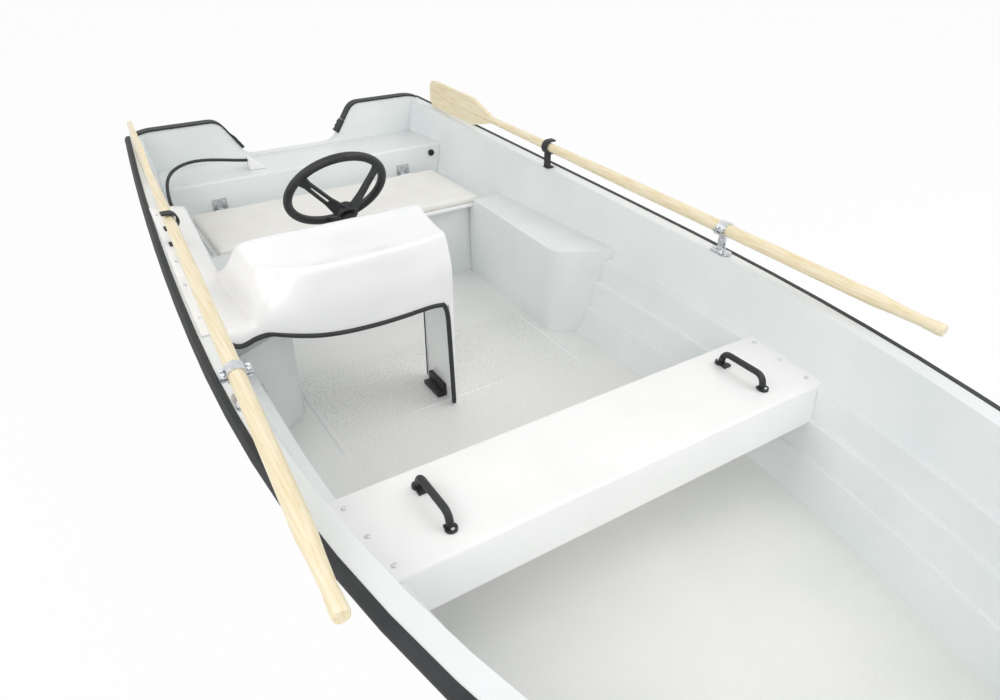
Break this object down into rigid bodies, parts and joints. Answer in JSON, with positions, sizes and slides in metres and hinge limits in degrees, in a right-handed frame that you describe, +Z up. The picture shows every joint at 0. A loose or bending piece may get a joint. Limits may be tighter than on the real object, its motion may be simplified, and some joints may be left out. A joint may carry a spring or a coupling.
{
  "type": "fishing dinghy",
  "caption": "Open moulded fishing dinghy with side steering console, folded thwart, hinged stern seat and stowed oars that swing out on their rowlocks",
  "frame": {"origin": "under the keel plank, at half the hull length on the centreline", "axes": "+X to the bow, +Y to port, +Z up"},
  "size_m": [4.2404, 1.667, 0.8987],
  "materials": {
    "hull_gelcoat": "polished white gelcoat",
    "liner_gelcoat": "cool pale grey gelcoat with a speckled non-slip floor",
    "white_moulding": "gloss white moulding",
    "thwart_sheet": "white powder-coated folded sheet",
    "fender_rubber": "matt black extruded rubber",
    "black_plastic": "grained black moulded plastic",
    "galvanised_steel": "bright galvanised steel",
    "pine": "clear varnished pale pine",
    "seat_vinyl": "cream white padded marine vinyl"
  },
  "bodies": {
    "boat": {"hull": "hull_gelcoat", "liner": "liner_gelcoat", "transom": "liner_gelcoat", "keel_plank": "hull_gelcoat", "bilge_runners": "hull_gelcoat", "fender_starboard": "fender_rubber", "fender_port": "fender_rubber", "transom_trim": "fender_rubber", "trim_sleeves": "fender_rubber", "bow_locker": "liner_gelcoat", "breasthook": "hull_gelcoat", "bow_eye": "galvanised_steel", "stern_ledge": "liner_gelcoat", "rear_bench": "liner_gelcoat", "side_bench_starboard": "liner_gelcoat", "side_bench_port": "liner_gelcoat", "hinge_wall_leaves": "galvanised_steel", "console": "white_moulding", "console_side_panel": "white_moulding", "console_trim": "fender_rubber", "console_foot": "black_plastic", "helm": "black_plastic", "steering_cable": "black_plastic", "cable_ramp": "white_moulding", "stern_bolt": "black_plastic", "thwart": "thwart_sheet", "grab_handle_starboard": "black_plastic", "grab_handle_port": "black_plastic", "rowlock_plate_starboard": "galvanised_steel", "rowlock_plate_port": "galvanised_steel", "oar_clip_starboard": "fender_rubber", "oar_clip_port": "fender_rubber"},
    "stern_seat": {"seat_lid": "white_moulding", "seat_pad": "seat_vinyl", "hinge_lid_leaves": "galvanised_steel"},
    "wheel": {"steering_wheel": "black_plastic"},
    "starboard_oar": {"oar_starboard": "pine", "clamp_starboard": "galvanised_steel", "rowlock_starboard": "galvanised_steel"},
    "port_oar": {"oar_port": "pine", "clamp_port": "galvanised_steel", "rowlock_port": "galvanised_steel"}
  },
  "joints": [
    {"name": "seat_hinge", "type": "hinge", "parent": "boat", "child": "stern_seat", "pos_m": [-1.75, 0, 0.424], "axis": [0, -1, 0], "range_deg": [0, 85]},
    {"name": "steering", "type": "hinge", "parent": "boat", "child": "wheel", "pos_m": [-0.69949, -0.244, 0.65818], "axis": [-0.8192, 0, 0.5736], "range_deg": [-540, 540]},
    {"name": "starboard_oar_swing", "type": "hinge", "parent": "boat", "child": "starboard_oar", "pos_m": [-0.126, -0.77692, 0.56], "axis": [0, 0, 1], "range_deg": [0, 92]},
    {"name": "port_oar_swing", "type": "hinge", "parent": "boat", "child": "port_oar", "pos_m": [-0.126, 0.77692, 0.56], "axis": [0, 0, -1], "range_deg": [0, 92]}
  ]
}
